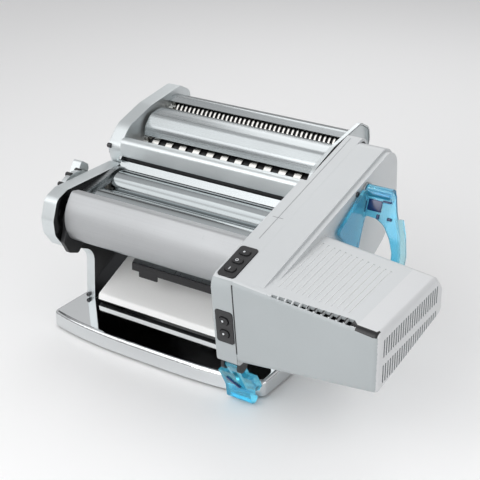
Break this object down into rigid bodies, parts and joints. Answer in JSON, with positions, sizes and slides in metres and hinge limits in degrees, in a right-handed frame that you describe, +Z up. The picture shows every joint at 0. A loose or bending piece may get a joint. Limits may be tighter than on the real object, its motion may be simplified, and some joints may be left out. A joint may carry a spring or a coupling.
{
  "type": "electric pasta maker",
  "caption": "Tabletop pasta machine: chromed sheet rollers on a bowed base, a lift-off cutter head behind them and a tapered motor unit clipped to one side.",
  "frame": {"origin": "middle of the bounding box's footprint, on the surface that the rubber feet stand on", "axes": "+X along the rollers towards the motor unit, +Y from the front cover to the back, +Z up"},
  "size_m": [0.3134, 0.211, 0.1576],
  "materials": {
    "base_chrome": "mirror",
    "panel_chrome": "bright",
    "cover_steel": "satin",
    "roller_steel": "polished",
    "shaft_steel": "machined",
    "silver_plastic": "satin",
    "black_plastic": "matte",
    "white_plastic": "matte",
    "clear_blue": "clear",
    "button_grey": "matte",
    "gear_plastic": "greased",
    "gear_brass": "machined",
    "motor_steel": "zinc",
    "magnet": "matte",
    "board": "coated",
    "rubber": "matte"
  },
  "bodies": {
    "frame": {"base_plate": "base_chrome", "casing_inner_half": "silver_plastic", "casing_outer_half": "silver_plastic", "circuit_board": "board", "clip_bracket": "black_plastic", "coarse_combs": "white_plastic", "cord_gland": "rubber", "exit_chute": "panel_chrome", "fine_combs": "white_plastic", "front_cover": "cover_steel", "front_end_cap": "black_plastic", "front_head_cover": "cover_steel", "gear_plate": "black_plastic", "gearbox": "motor_steel", "guard_rails": "panel_chrome", "left_head_plate": "panel_chrome", "left_side_panel": "panel_chrome", "lever_pin": "shaft_steel", "lower_control_panel": "black_plastic", "magnet_ring": "magnet", "middle_head_cover": "cover_steel", "motor_box": "silver_plastic", "motor_can": "motor_steel", "motor_end_cap": "silver_plastic", "rear_apron": "cover_steel", "rear_guide_plate": "panel_chrome", "rear_head_cover": "cover_steel", "right_head_plate": "panel_chrome", "right_side_panel": "panel_chrome", "roller_bushes": "white_plastic", "rubber_feet": "rubber", "scrapers": "roller_steel", "tie_rods": "roller_steel", "upper_control_panel": "black_plastic", "vent_liner": "black_plastic"},
    "slide_carriage": {"slide_blocks": "white_plastic"},
    "front_roller": {"front_roller": "roller_steel"},
    "rear_roller": {"rear_roller": "roller_steel"},
    "thickness_knob": {"thickness_knob": "black_plastic", "eccentric_shaft": "shaft_steel"},
    "coarse_front": {"coarse_front_cutter": "roller_steel"},
    "coarse_rear": {"coarse_rear_cutter": "roller_steel"},
    "fine_front": {"fine_front_cutter": "roller_steel"},
    "fine_rear": {"fine_rear_cutter": "roller_steel"},
    "roller_drive": {"roller_drive": "gear_plastic"},
    "coarse_drive": {"coarse_drive": "gear_plastic"},
    "link_gear": {"link_gear": "gear_plastic"},
    "fine_drive": {"fine_drive": "gear_plastic"},
    "wheel_gear": {"wheel_gear": "gear_plastic"},
    "motor_pinion": {"motor_pinion": "gear_brass"},
    "motor_rotor": {"motor_rotor": "shaft_steel", "cooling_fan": "black_plastic"},
    "upper_button_1": {"upper_button_1": "button_grey"},
    "upper_button_2": {"upper_button_2": "button_grey"},
    "upper_button_3": {"upper_button_3": "button_grey"},
    "lower_button_1": {"lower_button_1": "button_grey"},
    "lower_button_2": {"lower_button_2": "button_grey"},
    "rear_lever": {"rear_lever": "clear_blue"},
    "lower_clip": {"lower_clip": "clear_blue"}
  },
  "joints": [
    {"name": "rear_roller_spin", "type": "hinge", "parent": "frame", "child": "rear_roller", "pos_m": [-0.04775, 0.00106, 0.1015], "axis": [1, 0, 0], "continuous": true},
    {"name": "thickness_knob_turn", "type": "hinge", "parent": "frame", "child": "thickness_knob", "pos_m": [-0.14475, -0.02594, 0.0951], "axis": [1, 0, 0], "range_deg": [0, 150]},
    {"name": "front_roller_adjust", "type": "slide", "parent": "frame", "child": "slide_carriage", "axis": [0, -0.9732, -0.2301], "range_m": [0, 0.002]},
    {"name": "front_roller_spin", "type": "hinge", "parent": "slide_carriage", "child": "front_roller", "pos_m": [-0.04775, -0.02474, 0.0954], "axis": [1, 0, 0], "continuous": true},
    {"name": "roller_drive_spin", "type": "hinge", "parent": "frame", "child": "roller_drive", "pos_m": [0.05225, 0.00106, 0.1015], "axis": [1, 0, 0], "continuous": true},
    {"name": "coarse_drive_spin", "type": "hinge", "parent": "frame", "child": "coarse_drive", "pos_m": [0.05225, 0.02481, 0.11635], "axis": [1, 0, 0], "continuous": true},
    {"name": "coarse_front_spin", "type": "hinge", "parent": "frame", "child": "coarse_front", "pos_m": [-0.04775, 0.02481, 0.11635], "axis": [1, 0, 0], "continuous": true},
    {"name": "coarse_rear_spin", "type": "hinge", "parent": "frame", "child": "coarse_rear", "pos_m": [-0.04775, 0.04321, 0.12065], "axis": [1, 0, 0], "continuous": true},
    {"name": "link_gear_spin", "type": "hinge", "parent": "frame", "child": "link_gear", "pos_m": [0.05225, 0.04443, 0.1263], "axis": [1, 0, 0], "continuous": true},
    {"name": "fine_drive_spin", "type": "hinge", "parent": "frame", "child": "fine_drive", "pos_m": [0.05225, 0.06226, 0.13535], "axis": [1, 0, 0], "continuous": true},
    {"name": "fine_front_spin", "type": "hinge", "parent": "frame", "child": "fine_front", "pos_m": [-0.04775, 0.06226, 0.13535], "axis": [1, 0, 0], "continuous": true},
    {"name": "fine_rear_spin", "type": "hinge", "parent": "frame", "child": "fine_rear", "pos_m": [-0.04775, 0.08066, 0.13965], "axis": [1, 0, 0], "continuous": true},
    {"name": "wheel_gear_spin", "type": "hinge", "parent": "frame", "child": "wheel_gear", "pos_m": [0.05225, -0.03806, 0.08623], "axis": [1, 0, 0], "continuous": true},
    {"name": "motor_pinion_spin", "type": "hinge", "parent": "frame", "child": "motor_pinion", "pos_m": [0.05625, -0.07004, 0.0875], "axis": [1, 0, 0], "continuous": true},
    {"name": "motor_rotor_spin", "type": "hinge", "parent": "frame", "child": "motor_rotor", "pos_m": [0.09225, -0.07004, 0.0875], "axis": [1, 0, 0], "continuous": true},
    {"name": "upper_button_1_press", "type": "slide", "parent": "frame", "child": "upper_button_1", "axis": [0, 0.2554, -0.9668], "range_m": [0, 0.0012], "stiffness_N_per_m": 300},
    {"name": "upper_button_2_press", "type": "slide", "parent": "frame", "child": "upper_button_2", "axis": [0, 0.2554, -0.9668], "range_m": [0, 0.0012], "stiffness_N_per_m": 300},
    {"name": "upper_button_3_press", "type": "slide", "parent": "frame", "child": "upper_button_3", "axis": [0, 0.2554, -0.9668], "range_m": [0, 0.0012], "stiffness_N_per_m": 300},
    {"name": "lower_button_1_press", "type": "slide", "parent": "frame", "child": "lower_button_1", "axis": [0, 0.9936, 0.1132], "range_m": [0, 0.0012], "stiffness_N_per_m": 300},
    {"name": "lower_button_2_press", "type": "slide", "parent": "frame", "child": "lower_button_2", "axis": [0, 0.9936, 0.1132], "range_m": [0, 0.0012], "stiffness_N_per_m": 300},
    {"name": "rear_lever_swing", "type": "hinge", "parent": "frame", "child": "rear_lever", "pos_m": [0.09325, 0.02696, 0.134], "axis": [1, 0, 0], "range_deg": [0, 60]},
    {"name": "lower_clip_swing", "type": "hinge", "parent": "frame", "child": "lower_clip", "pos_m": [0.04225, -0.08954, 0.04], "axis": [1, 0, 0], "range_deg": [-40, 0]}
  ],
  "couplings": [
    {"joint": "front_roller_spin", "follows": "rear_roller_spin", "ratio": -1},
    {"joint": "roller_drive_spin", "follows": "rear_roller_spin", "ratio": 1},
    {"joint": "coarse_drive_spin", "follows": "rear_roller_spin", "ratio": -1.3333},
    {"joint": "coarse_front_spin", "follows": "rear_roller_spin", "ratio": -1.3333},
    {"joint": "coarse_rear_spin", "follows": "rear_roller_spin", "ratio": 1.3333},
    {"joint": "link_gear_spin", "follows": "rear_roller_spin", "ratio": 1.6},
    {"joint": "fine_drive_spin", "follows": "rear_roller_spin", "ratio": -1.6},
    {"joint": "fine_front_spin", "follows": "rear_roller_spin", "ratio": -1.6},
    {"joint": "fine_rear_spin", "follows": "rear_roller_spin", "ratio": 1.6},
    {"joint": "wheel_gear_spin", "follows": "rear_roller_spin", "ratio": -0.61538},
    {"joint": "motor_pinion_spin", "follows": "rear_roller_spin", "ratio": 2.6667},
    {"joint": "motor_rotor_spin", "follows": "rear_roller_spin", "ratio": 16},
    {"joint": "thickness_knob_turn", "follows": "front_roller_adjust", "rad_per_m": 1309}
  ]
}
